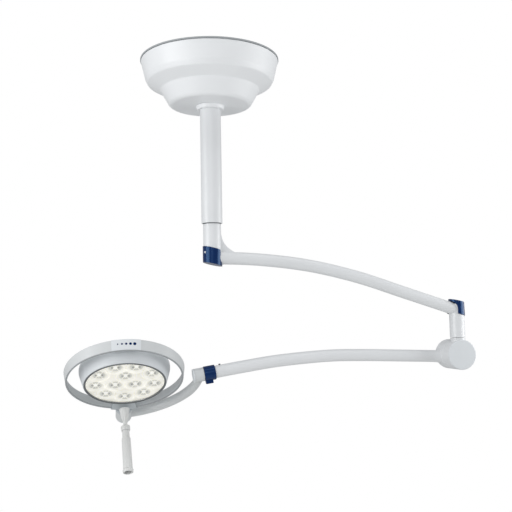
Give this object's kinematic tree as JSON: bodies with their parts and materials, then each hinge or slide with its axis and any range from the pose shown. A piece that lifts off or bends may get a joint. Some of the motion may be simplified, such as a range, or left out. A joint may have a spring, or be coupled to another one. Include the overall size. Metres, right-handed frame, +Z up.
{
  "type": "dental operating light",
  "caption": "Ceiling-mounted dental examination light: round canopy and pole, swivelling curved arm, spring arm with drum joint, C-yoke and round LED head in a grip ring with a hanging handle.",
  "frame": {"origin": "centre of the ceiling plate's upper face, on the ceiling pole's axis", "axes": "+Z up into the ceiling; +X from the pole to the elbow in the stored, folded pose; the head faces down and towards -Y"},
  "size_m": [1.0128, 0.4137, 0.987],
  "materials": {
    "white_powder_coat": "satin powder coat, slightly cool white",
    "white_plastic": "moulded white ABS, satin",
    "grey_seal": "grey elastomer edge seal",
    "blue_plastic": "glossy navy moulded plastic",
    "dark_plastic": "dark grey moulded plastic",
    "nylon": "natural bearing plastic",
    "steel": "zinc-plated steel",
    "dark_steel": "black-oxide steel",
    "aluminium": "mill-finish aluminium",
    "clear_glass": "clear toughened cover glass",
    "optic": "clear moulded lens plate, lit warm white",
    "circuit_board": "solder-masked glass-epoxy board",
    "cable_jacket": "light grey cable jacket"
  },
  "bodies": {
    "ceiling_mount": {"ceiling_plate": "steel", "ceiling_pipe": "white_powder_coat", "pipe_clamp_screw_1": "dark_steel", "pipe_clamp_screw_2": "dark_steel", "pipe_bush_upper": "nylon", "pipe_bush_lower": "dark_plastic", "canopy_shell": "white_plastic", "canopy_rim_seal": "grey_seal", "canopy_collar": "white_plastic", "canopy_collar_screw": "dark_steel", "power_supply": "aluminium", "terminal_block": "white_plastic"},
    "upper_arm_body": {"upper_arm": "white_powder_coat", "spigot_retaining_ring": "dark_steel", "pole_cap": "blue_plastic", "pole_cap_screw": "white_plastic", "elbow_cap": "blue_plastic", "elbow_cap_screw": "white_plastic", "elbow_brake_screw": "dark_steel", "elbow_bush_upper": "nylon", "elbow_bush_lower": "nylon", "upper_arm_cable": "cable_jacket"},
    "elbow_body": {"drum_housing": "white_powder_coat", "elbow_retaining_ring": "dark_steel", "drum_front_cover": "white_plastic", "drum_axle": "steel", "disc_spring_1": "steel", "disc_spring_2": "steel", "axle_lock_ring": "dark_steel", "balance_spring": "dark_steel"},
    "lower_arm_body": {"lower_arm": "white_powder_coat", "drum_rear_cover": "white_plastic", "arm_bush": "nylon", "end_collar": "blue_plastic", "end_collar_screw": "dark_steel", "end_brake_screw": "dark_steel", "yoke_bush": "nylon", "lower_arm_cable": "cable_jacket"},
    "yoke_body": {"yoke_arm": "white_powder_coat", "yoke_retaining_ring": "dark_steel", "yoke_end_cap": "white_plastic", "knuckle_bush": "nylon", "knuckle_cap": "white_plastic"},
    "head_body": {"head_housing": "white_plastic", "head_back_cover": "white_plastic", "lens_bezel": "dark_plastic", "cover_glass": "clear_glass", "lens_array": "optic", "led_board": "circuit_board", "heat_sink": "aluminium", "driver_board": "circuit_board", "ring_rail": "white_powder_coat", "ring_badge": "white_plastic", "near_bracket": "white_plastic", "far_bracket": "white_plastic", "pivot_lock_ring": "dark_steel", "handle_stem": "white_plastic"},
    "handle_body": {"handle_sleeve": "white_plastic"},
    "release_body": {"release_ring": "white_plastic"},
    "button_body": {"power_button": "blue_plastic"}
  },
  "joints": [
    {"name": "pole_swivel", "type": "hinge", "parent": "ceiling_mount", "child": "upper_arm_body", "pos_m": [0, 0, -0.397], "axis": [0, 0, 1], "range_deg": [-165, 165]},
    {"name": "elbow_swivel", "type": "hinge", "parent": "upper_arm_body", "child": "elbow_body", "pos_m": [0.629, 0, -0.682], "axis": [0, 0, 1], "range_deg": [-165, 165]},
    {"name": "spring_arm_tilt", "type": "hinge", "parent": "elbow_body", "child": "lower_arm_body", "pos_m": [0.629, 0, -0.7253], "axis": [0.0349, 0.9994, 0], "range_deg": [-45, 15]},
    {"name": "yoke_swivel", "type": "hinge", "parent": "lower_arm_body", "child": "yoke_body", "pos_m": [-0.00143, 0.05604, -0.7537], "axis": [-0.9879, 0.0345, -0.1513], "range_deg": [-150, 150]},
    {"name": "head_swivel", "type": "hinge", "parent": "yoke_body", "child": "head_body", "pos_m": [-0.19684, 0.22229, -0.85905], "axis": [0.0291, 0.8324, -0.5534], "range_deg": [-70, 115]},
    {"name": "handle_pull", "type": "slide", "parent": "head_body", "child": "handle_body", "axis": [0.0173, -0.554, -0.8324], "range_m": [0, 0.05]},
    {"name": "release_slide", "type": "slide", "parent": "head_body", "child": "release_body", "axis": [-0.0173, 0.554, 0.8324], "range_m": [0, 0.003], "stiffness_N_per_m": 400, "springref_m": -0.002},
    {"name": "button_press", "type": "slide", "parent": "head_body", "child": "button_body", "axis": [-0.0106, -0.5533, -0.8329], "range_m": [0, 0.002], "stiffness_N_per_m": 500, "springref_m": -0.002}
  ]
}
